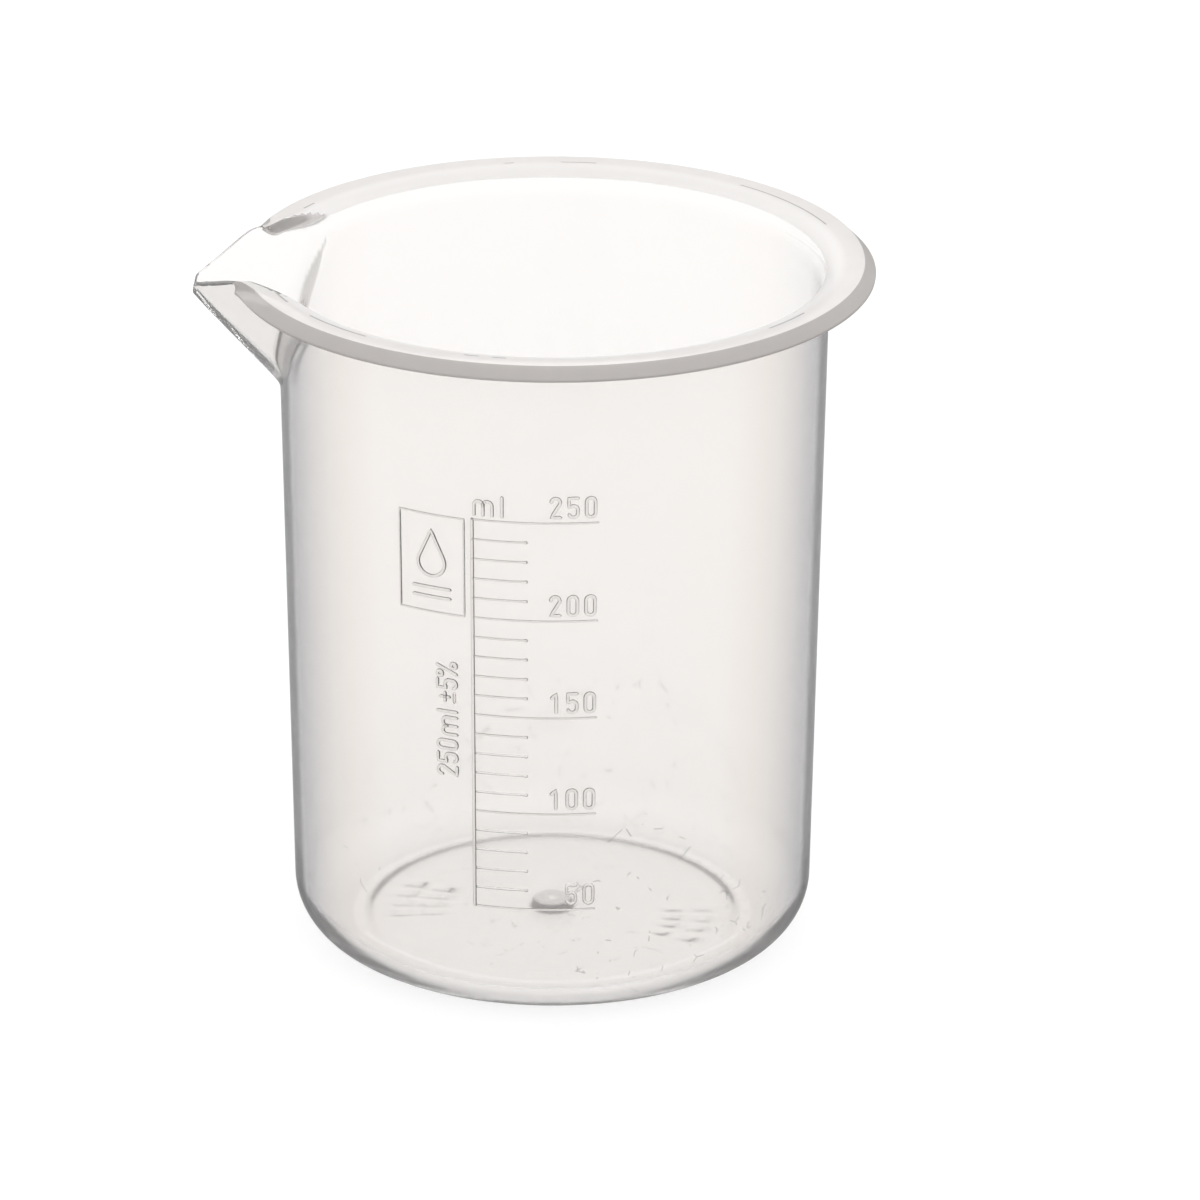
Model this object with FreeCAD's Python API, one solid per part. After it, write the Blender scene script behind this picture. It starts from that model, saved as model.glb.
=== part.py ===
import FreeCAD, Part

import math
import os

from FreeCAD import Vector

# Low-form laboratory beaker, 250 ml, moulded in one shot from natural polypropylene.
# Millimetres, +Z up. The origin is on the vessel's axis, at the plane that the foot stands on.
# The pouring spout points along -X and the volume scale faces -Y.
# The real beaker is one moulding. Each node here is one region or one raised mark of it,
# and the nodes meet face to face.

# ---- driving dimensions ----
total_height = 95.0
nominal_volume = 250.0           # ml
outer_radius_base = 34.7         # wall cone, extended down to z = 0
outer_radius_top = 36.3          # wall cone at cone_height
cone_height = 88.0
wall_thickness = 1.3
floor_thickness = 1.6
heel_radius = 7.7                # outer rounding between wall and floor
foot_inner_radius = 24.8         # edge of the shallow recess under the floor
recess_depth = 0.3

rim_radius = 42.4                # outside of the flanged rim
rim_thickness = 1.8
rim_edge_radius = 1.5            # rounding of the rim's upper outer edge
rim_fillet_outer = 2.4           # under the flange
rim_fillet_inner = 3.4           # from the inner wall onto the flange

spout_wall = 1.1
spout_tip_wall = 0.6             # the side faces thin towards the tip
spout_tip_floor = 1.45           # upright thickness of the trough's floor at the tip
spout_reach = 47.6               # tip, from the axis
spout_bottom_height = 77.3       # where the trough's underside leaves the wall
spout_bottom_radius = 36.2       # distance from the axis at that point
spout_rise = 1.0566              # climb of the underside per mm outwards
spout_plan_reach = 51.3          # where the outer side faces would meet at rim height
spout_side_angle = 29.4          # lean of the side faces from vertical, in a cross-section
spout_corner = 40.9              # where the top edge starts to fall towards the tip
spout_tip_height = 91.4          # top edge at the tip
spout_tip_rounding = 4.9         # radius of the tip, seen from above
trough_start = 33.0              # the trough's outer faces begin here, inside the wall
trough_space_start = 30.0        # and its hollow begins here
trough_overrun = 0.6             # both run past the tip before they are cut to length
trough_space_overrun = 0.4
trough_headroom = 3.0            # and above the rim
envelope_start = 30.0
envelope_low = 60.0
envelope_half_width = 30.0
envelope_height = 50.0

relief = 0.25                    # height of every raised mark on the wall
skin_clearance = 1.0             # raised marks stay this far above the heel
line_width = 0.40
stroke_width = 0.42
scale_left = -14.6               # azimuths in degrees from -Y towards +X
scale_right = 11.1
minor_right = -3.4
step_volume = 50.0
first_line = 16.75               # height of the 50 ml line
line_spacing = 13.7              # 50 ml of the cavity, which is all but a cylinder here
minor_steps = 5                  # divisions between two numbered lines
digit_height = 2.65              # centre line to centre line
digit_half_width = 0.58
digit_pitch = 2.28
digit_gap = 0.70                 # clear of the line below
unit_gap = 0.55
unit_m_offset = 1.3              # middle of the m, from the left end of the scale
unit_l_offset = 3.8

symbol_azimuth = -24.0
symbol_half_width = 4.6
symbol_low = 57.8
symbol_high = 71.4
drop_radius = 1.9
drop_centre = (0.0, 0.1)         # across and up, from the middle of the frame
drop_point = (0.0, 4.6)
level_lines = (-3.4, -4.7)
level_half_width = 2.6
note_azimuth = -18.6
note_start = 35.6
note_pitch = 1.85

pip_radius = 2.85                # inside, over the moulding gate
pip_height = 1.1
pip_draft = 0.3
base_mark_rows = (15.2, 19.2)    # inner radii of the raised blocks under the floor
base_mark_depth = 2.4
base_mark_angle = 6.5
base_mark_pitch = 9.5
base_mark_relief = 0.15
base_mark_centres = (-98.0, 78.0)

# ---- worked out from the driving dimensions ----
draft = (outer_radius_top - outer_radius_base) / cone_height
inner_heel_radius = heel_radius - wall_thickness
floor_top = recess_depth + floor_thickness
flange_under = total_height - rim_thickness
heel_top = heel_radius
flare_start = flange_under - rim_fillet_outer
side_spread = math.tan(math.radians(spout_side_angle))
side_norm = math.sqrt(1.0 + 1.0 + side_spread ** 2)
spout_floor_drop = spout_wall * math.sqrt(1.0 + spout_rise ** 2)
radial_depth = 3.0               # strokes are cut this far either side of the wall
slab_radius = 60.0               # wider than the whole beaker


def outer_radius(height):
    return outer_radius_base + draft * height


def inner_radius(height):
    return outer_radius(height) - wall_thickness


def save(name, shape):
    shape.exportStep("parts/" + name + ".step")
    print(name, len(shape.Solids), "solids", round(shape.Volume, 2), "mm3", shape.isValid())


def point(radius, height):
    return Vector(radius, 0, height)


def revolve(edges, angle=360.0):
    face = Part.Face(Part.Wire(edges))
    return face.revolve(Vector(0, 0, 0), Vector(0, 0, 1), angle)


def line(start, end):
    return Part.LineSegment(start, end).toShape()


def arc(start, middle, end):
    return Part.Arc(start, middle, end).toShape()


def corner_arc(centre, radius, start_angle, end_angle):
    """Quarter-like arc in the profile plane, angles in degrees from +X towards +Z."""
    places = []
    for angle in (start_angle, (start_angle + end_angle) / 2.0, end_angle):
        turn = math.radians(angle)
        places.append(point(centre.x + radius * math.cos(turn), centre.z + radius * math.sin(turn)))
    return arc(*places), places[0], places[2]


# ---- the vessel's outer and inner profiles ----
heel_centre = point(outer_radius(heel_radius) - heel_radius, heel_radius)
inner_heel_centre = point(heel_centre.x, floor_top + inner_heel_radius)
under_fillet_centre = point(outer_radius(flare_start) + rim_fillet_outer, flare_start)
inner_flare_start = total_height - rim_fillet_inner
top_fillet_centre = point(inner_radius(inner_flare_start) + rim_fillet_inner, inner_flare_start)
rim_edge_centre = point(rim_radius - rim_edge_radius, total_height - rim_edge_radius)


def outer_solid():
    """Everything inside the outer surface, flange included."""
    heel, heel_low, heel_high = corner_arc(heel_centre, heel_radius, -90, 0)
    under, under_low, under_high = corner_arc(under_fillet_centre, rim_fillet_outer, 180, 90)
    edge, edge_low, edge_high = corner_arc(rim_edge_centre, rim_edge_radius, 0, 90)
    foot_centre = point(0, 0)
    lip = point(rim_radius, flange_under)
    top_centre = point(0, total_height)
    return revolve([
        line(foot_centre, heel_low), heel, line(heel_high, under_low), under,
        line(under_high, lip), line(lip, edge_low), edge,
        line(edge_high, top_centre), line(top_centre, foot_centre)])


def cavity_solid():
    """The space inside the vessel, up to rim height."""
    heel, heel_low, heel_high = corner_arc(inner_heel_centre, inner_heel_radius, -90, 0)
    flare, flare_low, flare_high = corner_arc(top_fillet_centre, rim_fillet_inner, 180, 90)
    floor_centre = point(0, floor_top)
    top_centre = point(0, total_height)
    return revolve([
        line(floor_centre, heel_low), heel, line(heel_high, flare_low), flare,
        line(flare_high, top_centre), line(top_centre, floor_centre)])


def slab(low, high):
    return Part.makeCylinder(slab_radius, high - low, Vector(0, 0, low))


# ---- the spout: a trough lofted between a wide section at the wall and a narrow one at the tip ----
def trough_section(reach, inset, floor_lift, top):
    """Section across the trough at x = -reach: straight leaning sides and a round bottom."""
    apex = total_height - (spout_plan_reach - reach - inset) / side_spread
    bottom = spout_bottom_height + spout_rise * (reach - spout_bottom_radius) + floor_lift
    lean = math.radians(spout_side_angle)
    radius = (bottom - apex) / (1.0 / math.sin(lean) - 1.0)
    touch_y = radius * math.cos(lean)
    touch_z = bottom + radius - radius * math.sin(lean)
    top_y = (top - apex) * side_spread
    corners = [
        Vector(-reach, -top_y, top), Vector(-reach, -touch_y, touch_z), Vector(-reach, 0, bottom),
        Vector(-reach, touch_y, touch_z), Vector(-reach, top_y, top)]
    return Part.Wire([
        line(corners[0], corners[1]), arc(corners[1], corners[2], corners[3]),
        line(corners[3], corners[4]), line(corners[4], corners[0])])


def trough(near_section, far_section):
    return Part.makeLoft([near_section, far_section], True, True)


def spout_envelope():
    """Side view of the spout's top edge, swept across it, with the tip rounded in plan."""
    slope = (total_height - spout_tip_height) / (spout_reach - spout_corner)
    plan_angle = math.atan(1.0 + side_spread * slope)
    far = spout_reach + 2.0
    far_height = total_height - slope * (far - spout_corner)
    near = -envelope_start
    side = -envelope_half_width
    outline = Part.makePolygon([
        Vector(near, side, envelope_low), Vector(near, side, total_height),
        Vector(-spout_corner, side, total_height), Vector(-far, side, far_height),
        Vector(-far, side, envelope_low), Vector(near, side, envelope_low)])
    side_view = Part.Face(outline).extrude(Vector(0, 2 * envelope_half_width, 0))
    tip_centre = spout_reach - spout_tip_rounding
    tangent = tip_centre + spout_tip_rounding * math.sin(plan_angle)
    tip = Part.makeCylinder(spout_tip_rounding, envelope_height, Vector(-tip_centre, 0, envelope_low))
    body = Part.makeBox(
        tangent - envelope_start, 2 * envelope_half_width, envelope_height,
        Vector(-tangent, side, envelope_low))
    return side_view.common(tip.fuse(body))


# ---- raised marks: flat strokes drawn in the X-Z plane, then wrapped onto the wall ----
def extrude_inwards(face):
    return face.extrude(Vector(0, radial_depth * 2, 0))


def stroke(start, end, width=stroke_width):
    """Straight stroke with round ends between two (across, up) places."""
    front = -outer_radius_top - radial_depth
    a = Vector(start[0], front, start[1])
    b = Vector(end[0], front, end[1])
    along = (b - a).normalize()
    side = Vector(-along.z, 0, along.x) * (width / 2.0)
    tip = along * (width / 2.0)
    outline = Part.Wire([
        line(a + side, b + side), arc(b + side, b + tip, b - side),
        line(b - side, a - side), arc(a - side, a - tip, a + side)])
    return extrude_inwards(Part.Face(outline))


def bow(centre, radius, start_angle, end_angle, width=stroke_width):
    """Curved stroke: part of a ring, angles in degrees anticlockwise from the right."""
    front = -outer_radius_top - radial_depth

    def place(angle, distance):
        turn = math.radians(angle)
        return Vector(centre[0] + distance * math.cos(turn), front, centre[1] + distance * math.sin(turn))

    middle = (start_angle + end_angle) / 2.0
    outer = radius + width / 2.0
    inner = radius - width / 2.0
    outline = Part.Wire([
        arc(place(start_angle, outer), place(middle, outer), place(end_angle, outer)),
        line(place(end_angle, outer), place(end_angle, inner)),
        arc(place(end_angle, inner), place(middle, inner), place(start_angle, inner)),
        line(place(start_angle, inner), place(start_angle, outer))])
    return extrude_inwards(Part.Face(outline))


def ring(centre, radius):
    return [bow(centre, radius, 0, 180), bow(centre, radius, 180, 360)]


def glyph_zero():
    a = digit_half_width
    h = digit_height
    return [
        bow((0, h - a), a, 0, 180), bow((0, a), a, 180, 360),
        stroke((-a, a), (-a, h - a)), stroke((a, a), (a, h - a))]


def glyph_one():
    h = digit_height
    return [stroke((0.2, 0), (0.2, h)), stroke((0.2, h), (-0.4, h - 0.6))]


def glyph_two():
    a = digit_half_width
    h = digit_height
    turn = math.radians(-40)
    waist = (a * math.cos(turn), h - a + a * math.sin(turn))
    return [bow((0, h - a), a, -40, 180), stroke(waist, (-a, 0)), stroke((-a, 0), (a, 0))]


def glyph_five():
    a = digit_half_width
    h = digit_height
    shoulder = h - 1.05 - a
    return [
        stroke((-a, h), (a, h)), stroke((-a, h), (-a, h - 1.2)),
        bow((0, shoulder), a, 0, 130), stroke((a, shoulder), (a, a)), bow((0, a), a, 200, 360)]


def glyph_m():
    hump = 0.6
    shoulder = 1.35
    stems = [stroke((place, 0), (place, shoulder)) for place in (-2 * hump, 0, 2 * hump)]
    return stems + [bow((-hump, shoulder), hump, 0, 180), bow((hump, shoulder), hump, 0, 180)]


def glyph_l():
    return [stroke((0, 0), (0, digit_height))]


def glyph_plus_minus():
    return [stroke((-0.6, 1.6), (0.6, 1.6)), stroke((0, 1.0), (0, 2.2)), stroke((-0.6, 0.3), (0.6, 0.3))]


def glyph_percent():
    h = digit_height
    dot = 0.36
    slash = stroke((-0.55, 0), (0.55, h))
    return [slash] + ring((-0.62, h - dot), dot) + ring((0.62, dot), dot)


glyphs = {
    "0": glyph_zero, "1": glyph_one, "2": glyph_two, "5": glyph_five,
    "m": glyph_m, "l": glyph_l, "+": glyph_plus_minus, "%": glyph_percent}


def relief_shell(low, high):
    """Thin skin on the wall, one relief thick."""
    height = high - low
    base = Vector(0, 0, low)
    outside = Part.makeCone(outer_radius(low) + relief, outer_radius(high) + relief, height, base)
    inside = Part.makeCone(outer_radius(low), outer_radius(high), height, base)
    return outside.cut(inside)


wall_skin = relief_shell(heel_top + skin_clearance, flare_start)


def joined(pieces):
    if len(pieces) == 1:
        return pieces[0]
    return pieces[0].multiFuse(pieces[1:]).removeSplitter()


def wrap(pieces, azimuth, height, quarter_turns=0):
    """Join strokes, turn them in their plane, lift them and lay them on the wall."""
    mark = joined(pieces)
    mark.rotate(Vector(0, 0, 0), Vector(0, -1, 0), 90.0 * quarter_turns)
    mark.translate(Vector(0, 0, height))
    mark.rotate(Vector(0, 0, 0), Vector(0, 0, 1), azimuth)
    return mark.common(wall_skin).Solids


def band(height, start_azimuth, end_azimuth, width):
    """Horizontal raised line round part of the wall."""
    low = height - width / 2.0
    high = height + width / 2.0
    corners = [
        point(outer_radius(low), low), point(outer_radius(low) + relief, low),
        point(outer_radius(high) + relief, high), point(outer_radius(high), high)]
    edges = [line(corners[i], corners[(i + 1) % 4]) for i in range(4)]
    solid = revolve(edges, end_azimuth - start_azimuth)
    solid.rotate(Vector(0, 0, 0), Vector(0, 0, 1), start_azimuth - 90.0)
    return solid


def degrees_for(length, height):
    return math.degrees(length / outer_radius(height))


def height_for(volume):
    return first_line + (volume / step_volume - 1.0) * line_spacing


# ---- build and save ----
os.makedirs("parts", exist_ok=True)

outside = outer_solid()
shell = outside.cut(cavity_solid())
recess = Part.makeCylinder(foot_inner_radius, recess_depth)
shell = shell.cut(recess)

above = total_height + trough_headroom
trough_outer = trough(
    trough_section(trough_start, 0.0, 0.0, above),
    trough_section(spout_reach + trough_overrun, 0.0, 0.0, above))
trough_space = trough(
    trough_section(trough_space_start, spout_wall * side_norm, spout_floor_drop, above),
    trough_section(
        spout_reach + trough_space_overrun, spout_tip_wall * side_norm, spout_tip_floor, above))
open_shell = shell.cut(trough_space)

floor_core = Part.makeCylinder(foot_inner_radius, floor_top)
save("floor_disc", shell.common(floor_core))
save("heel_ring", shell.common(slab(0, heel_top)).cut(floor_core))
save("wall", open_shell.common(slab(heel_top, flare_start)))
save("rim", open_shell.common(slab(flare_start, total_height)))
save("spout", trough_outer.common(spout_envelope()).cut(trough_space).cut(outside))

pip = Part.makeCone(pip_radius, pip_radius - pip_draft, pip_height, Vector(0, 0, floor_top))
save("gate_pip", pip)

# graduated scale
numbered = [step_volume * n for n in range(1, int(nominal_volume / step_volume) + 1)]
majors = []
minors = []
for volume in numbered:
    majors.append(band(height_for(volume), scale_left, scale_right, line_width))
    if volume < nominal_volume:
        for n in range(1, minor_steps):
            height = height_for(volume + n * step_volume / minor_steps)
            minors.append(band(height, scale_left, minor_right, line_width))

scale_low = height_for(numbered[0]) - line_width / 2.0
scale_high = height_for(numbered[-1]) + line_width / 2.0
line_angle = degrees_for(line_width, scale_high)
stem = band((scale_low + scale_high) / 2.0, scale_left - line_angle, scale_left, scale_high - scale_low)
save("scale_line", stem)
save("major_graduations", Part.makeCompound(majors))
save("minor_graduations", Part.makeCompound(minors))

# numbers stand on their lines, flush with the lines' right-hand ends
for volume in numbered:
    text = str(int(volume))
    base = height_for(volume) + line_width / 2.0 + digit_gap
    first = scale_right - degrees_for(digit_half_width + stroke_width / 2.0, base)
    solids = []
    for place, letter in enumerate(reversed(text)):
        azimuth = first - degrees_for(digit_pitch * place, base)
        solids.extend(wrap(glyphs[letter](), azimuth, base))
    save("numeral_" + text, Part.makeCompound(solids))

unit_base = scale_high + unit_gap
unit_solids = wrap(glyphs["m"](), scale_left + degrees_for(unit_m_offset, unit_base), unit_base)
unit_solids += wrap(glyphs["l"](), scale_left + degrees_for(unit_l_offset, unit_base), unit_base)
save("unit_ml", Part.makeCompound(unit_solids))

# capacity and accuracy note, reading upwards beside the scale
note_solids = []
note_height = note_start
for letter, advance in (("2", 1.0), ("5", 1.0), ("0", 1.45), ("m", 1.1), ("l", 1.1),
                        ("+", 1.0), ("5", 1.1), ("%", 1.0)):
    note_solids.extend(wrap(glyphs[letter](), note_azimuth, note_height, 1))
    note_height += note_pitch * advance
save("accuracy_note", Part.makeCompound(note_solids))

# plain pictogram: a drop over two level lines, in a frame
half_height = (symbol_high - symbol_low) / 2.0
symbol_middle = symbol_low + half_height
frame_corners = [
    (-symbol_half_width, -half_height), (symbol_half_width, -half_height),
    (symbol_half_width, half_height), (-symbol_half_width, half_height)]
frame_strokes = [stroke(frame_corners[i], frame_corners[(i + 1) % 4], line_width) for i in range(4)]
save("symbol_frame", Part.makeCompound(wrap(frame_strokes, symbol_azimuth, symbol_middle)))

touch = math.degrees(math.asin(drop_radius / (drop_point[1] - drop_centre[1])))
turn = math.radians(touch)
shoulder_x = drop_radius * math.cos(turn)
shoulder_z = drop_centre[1] + drop_radius * math.sin(turn)
drop_strokes = [
    bow(drop_centre, drop_radius, 180 - touch, 360 + touch),
    stroke((-shoulder_x, shoulder_z), drop_point), stroke((shoulder_x, shoulder_z), drop_point)]
symbol_solids = wrap(drop_strokes, symbol_azimuth, symbol_middle)
for level in level_lines:
    line_ends = ((-level_half_width, level), (level_half_width, level))
    symbol_solids += wrap([stroke(*line_ends)], symbol_azimuth, symbol_middle)
save("symbol_drop", Part.makeCompound(symbol_solids))

# raised blocks in the recess under the floor
for name, centre in zip(("base_marks_left", "base_marks_right"), base_mark_centres):
    blocks = []
    for inner in base_mark_rows:
        for place in (-1.5, -0.5, 0.5, 1.5):
            corners = [
                point(inner, recess_depth), point(inner, recess_depth - base_mark_relief),
                point(inner + base_mark_depth, recess_depth - base_mark_relief),
                point(inner + base_mark_depth, recess_depth)]
            edges = [line(corners[i], corners[(i + 1) % 4]) for i in range(4)]
            block = revolve(edges, base_mark_angle)
            start = centre + place * base_mark_pitch - base_mark_angle / 2.0 - 90.0
            block.rotate(Vector(0, 0, 0), Vector(0, 0, 1), start)
            blocks.append(block)
    save(name, Part.makeCompound(blocks))
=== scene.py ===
import math

import bmesh
import bpy
from mathutils import Matrix, Vector


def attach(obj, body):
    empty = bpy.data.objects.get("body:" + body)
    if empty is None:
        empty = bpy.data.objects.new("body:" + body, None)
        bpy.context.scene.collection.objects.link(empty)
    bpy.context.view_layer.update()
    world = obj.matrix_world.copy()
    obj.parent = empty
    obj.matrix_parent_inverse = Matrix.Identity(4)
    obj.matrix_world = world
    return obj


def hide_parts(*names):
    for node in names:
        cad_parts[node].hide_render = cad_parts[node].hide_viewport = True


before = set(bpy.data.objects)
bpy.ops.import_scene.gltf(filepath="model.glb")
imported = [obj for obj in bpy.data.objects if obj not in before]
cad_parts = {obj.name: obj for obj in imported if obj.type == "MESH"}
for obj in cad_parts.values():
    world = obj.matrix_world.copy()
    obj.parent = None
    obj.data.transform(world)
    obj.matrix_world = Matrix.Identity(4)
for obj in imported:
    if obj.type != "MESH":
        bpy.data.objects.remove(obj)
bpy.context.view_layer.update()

# A 250 ml plastic laboratory beaker on a pale floor. Metres, +Z up, spout along -X, scale facing -Y.
mm = 0.001
print("stage: frame loaded")


def smoothMax(a, b, softness):
    near = max(softness - abs(a - b), 0.0) / softness if softness > 0 else 0.0
    return max(a, b) + near * near * softness / 4.0


def smoothMin(a, b, softness):
    return -smoothMax(-a, -b, softness)


def smoothStep(start, end, value):
    share = min(max((value - start) / (end - start), 0.0), 1.0)
    return share * share * (3.0 - 2.0 * share)


def mix(a, b, share):
    return a + (b - a) * share


def arc(centre, radius, start, end, count=10):
    turns = [math.radians(mix(start, end, step / count)) for step in range(count + 1)]
    return [(centre[0] + radius * math.cos(turn), centre[1] + radius * math.sin(turn)) for turn in turns]


class Value:
    # one socket of a material, so that shader maths reads as arithmetic
    def __init__(self, look, socket):
        self.look = look
        self.socket = socket

    def maths(self, operation, first, second):
        return self.look.add("ShaderNodeMath", {"operation": operation}, {0: first, 1: second})

    def __add__(self, other):
        return self.maths("ADD", self, other)

    def __radd__(self, other):
        return self.maths("ADD", other, self)

    def __sub__(self, other):
        return self.maths("SUBTRACT", self, other)

    def __rsub__(self, other):
        return self.maths("SUBTRACT", other, self)

    def __mul__(self, other):
        return self.maths("MULTIPLY", self, other)

    def __rmul__(self, other):
        return self.maths("MULTIPLY", other, self)

    def __pow__(self, other):
        return self.maths("POWER", self, other)


class Look:
    # one material or world, and the only method that adds a node to it
    def __init__(self, owner):
        self.owner = owner
        owner.use_nodes = True
        self.tree = owner.node_tree
        self.tree.nodes.clear()

    def add(self, kind, settings=None, inputs=None, output=0):
        made = self.tree.nodes.new(kind)
        for name, setting in (settings or {}).items():
            if name == "stops":
                fillRamp(made.color_ramp, setting)
            else:
                setattr(made, name, setting)
        for name, value in (inputs or {}).items():
            if isinstance(value, Value):
                self.tree.links.new(value.socket, made.inputs[name])
            else:
                made.inputs[name].default_value = value
        return Value(self, made.outputs[output]) if len(made.outputs) else made


def fillRamp(ramp, stops):
    while len(ramp.elements) < len(stops):
        ramp.elements.new(0.5)
    for element, (place, grey) in zip(ramp.elements, stops):
        element.position = place
        element.color = (grey, grey, grey, 1.0) if isinstance(grey, float) else (*grey, 1.0)


# The vessel is one section spun round the axis, then re-laid meridian by meridian at the spout.
vessel = {
    "height": 95.0,
    "baseRadius": 34.7,          # wall cone at floor level
    "draft": 1.6 / 88.0,         # radius gained per mm of height
    "wall": 1.3,
    "heelRadius": 7.7,
    "floorTop": 1.9,
    "recess": 0.3,
    "recessRadius": 24.8,
    "recessEdge": 1.0,           # rings nearer than this to its edge stay as they are
    "flangeRadius": 42.4,
    "flangeUnder": 93.2,
    "flareStart": 90.8,
    "underFillet": 2.4,
    "lipBevel": 1.45,            # the lip's slanting outer face
    "innerFillet": 3.4,
    "pipRadius": 2.85,
    "pipHeight": 1.1,
    "pipFoot": 0.06,
    "pipChamfer": 0.15,
    "pipRounding": 0.32,
    "pipRings": (2.0, 1.0, 0.0),
    "footRings": (0.0, 2.0, 5.0, 9.0, 13.0),   # radii of rings on the flats
    "standRings": (25.7, 26.4),
    "underRings": (39.4, 40.1, 40.8, 41.4, 41.9),
    "topRings": (40.8, 40.3, 39.8, 39.3, 38.9),
    "floorRings": (24.0, 20.0, 16.0, 12.0, 8.0, 5.0, 3.4, 3.0),
    "lipFoot": 0.2,              # rounding of the lip's lower edge
    "bevelRings": (0.0, 0.07, 0.3, 0.5, 0.7, 0.93, 1.0),
    "straightFrom": 10.0,        # the wall is straight from here up
    "markChamfer": 0.1,
    "markPlaces": (-1.5, -0.5, 0.5, 1.5),
    "weld": 0.002,
    "markRows": (15.2, 19.2),    # raised blocks under the floor: inner radii
    "markDepth": 2.4,
    "markCentres": (-8.0, 168.0),   # degrees from the spout's axis
    "markPitch": 9.5,
    "markAngle": 6.5,
    "markRelief": 0.07,
    "turns": 400,
    "crowding": 0.6,             # meridians stand closer near the spout
    "spoutFoot": 60.0,           # the spout changes nothing below this
    "gateHaze": 0.9,
    "gateEdge": 0.3,             # the haze reaches this far past the pip
    "stepRounding": 0.4,
    "milkyFrom": 93.4,           # the flange's top is milky down to this height inside
}
spout = {
    "sideReach": 51.3,
    "sideFall": 0.5635,          # how fast the side faces draw in, per mm downwards
    "ridgeRadius": 36.2,
    "ridgeHeight": 77.3,
    "ridgeClimb": 1.0566,
    "edgeStart": 40.9,
    "edgeFall": 0.5373,
    "tipCentre": 42.7,
    "tipRounding": 4.9,
    "insetNear": 1.674,          # wall of the side faces, in the plan
    "insetLoss": 0.0423,         # thins per mm towards the tip
    "floorLift": 1.5,
    "foldOutside": 1.5,          # rounding of the folds between spout and wall
    "foldFoot": 0.4,             # and of the outer fold's foot
    "foldSpan": (79.0, 85.0),
    "foldInside": 0.8,
    "outerShade": 0.6,           # the shade is full within this much of a fold's rounding
    "innerShade": 0.7,
    "shadeTop": 92.0,            # the inner fold's shade starts here
    "shadeFull": 86.0,           # and is widest here
    "edgeDrop": 0.35,            # the thin edge slopes inwards by this much
    "band": 0.35,                # height of the thin edge
    "swoopNear": (12.0, 15.0),   # degrees from the spout's axis, where the lip thickens
    "swoopFar": (15.5, 21.0),
    "cornerNear": 2.0,           # rounding of the outline's corners
    "cornerFar": 0.5,
    "widest": math.radians(45.0),
    "outlineSize": 63.68,        # the spout's straight sides, seen from above
    "outlineSlope": 1.3028,
    "insetFrom": 31.0,
    "ridgeRounding": (6.0, 0.8), # of the channel's floor, at its foot and at the lip
    "ridgeSpan": (77.0, 90.0),
    "innerRise": 1.0,
    "tipWidth": math.radians(5.0),
    "tipSoftness": 0.05,
    "edgeSoftness": 0.6,
    "edgeEnds": (17.0, 13.0),    # degrees from the axis, where the edge starts to fall
    "runOut": 0.55,              # the channel runs out this far inside the tip
    "runOutSide": 1.0,
    "runOutSoftness": 0.3,
    "bandFoot": 1.2,
    "roundingShare": 0.42,       # of the edge's thickness
}


def wallRadius(height):
    return vessel["baseRadius"] + vessel["draft"] * height


def innerWallRadius(height):
    return wallRadius(height) - vessel["wall"]


def flareRadius():
    # where the flange's flat top turns down into the vessel
    return innerWallRadius(vessel["height"] - vessel["innerFillet"]) + vessel["innerFillet"]


def filletRun(size, rise):
    # how far out a fillet has run after this rise
    return size - math.sqrt(max(size ** 2 - rise ** 2, 0.0))


def spread(start, end, count):
    # places from start to end, without the end itself
    return [mix(start, end, step / count) for step in range(count)]


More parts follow.
